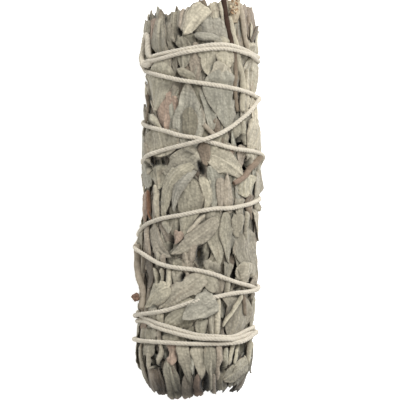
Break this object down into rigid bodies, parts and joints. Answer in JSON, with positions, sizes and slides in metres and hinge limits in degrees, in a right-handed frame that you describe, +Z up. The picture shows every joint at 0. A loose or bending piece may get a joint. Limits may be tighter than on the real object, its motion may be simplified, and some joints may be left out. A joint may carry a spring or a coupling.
{
  "type": "sage bunch",
  "caption": "Dried white sage bundle: long soft grey-green leaves and woody stems bound lengthwise with wound cotton twine, lying on its side.",
  "frame": {"origin": "middle of the footprint, on the surface that the bundle lies on", "axes": "+Z up, +Y along the bundle towards the end with the cut stem, +X to the right as seen from above"},
  "size_m": [0.0342, 0.1024, 0.0307],
  "materials": {
    "dried_sage_leaf": "dried felted leaf, grey-green, dull",
    "cotton_twine": "undyed three-ply cotton, dull",
    "sage_stem": "dried stem, dull",
    "dark_sage_stem": "dried brown stem, dull"
  },
  "bodies": {
    "root": {"leaf_bunch": "dried_sage_leaf", "binding_twine": "cotton_twine", "dark_stem": "dark_sage_stem", "long_pale_stem": "sage_stem", "short_pale_stem": "sage_stem", "forked_twig": "dark_sage_stem", "budded_stem": "sage_stem", "tan_twig": "sage_stem", "pithy_stem": "sage_stem", "inner_stem_1": "sage_stem", "inner_stem_2": "sage_stem", "inner_stem_3": "sage_stem", "inner_stem_4": "sage_stem", "inner_stem_5": "sage_stem"}
  },
  "joints": []
}
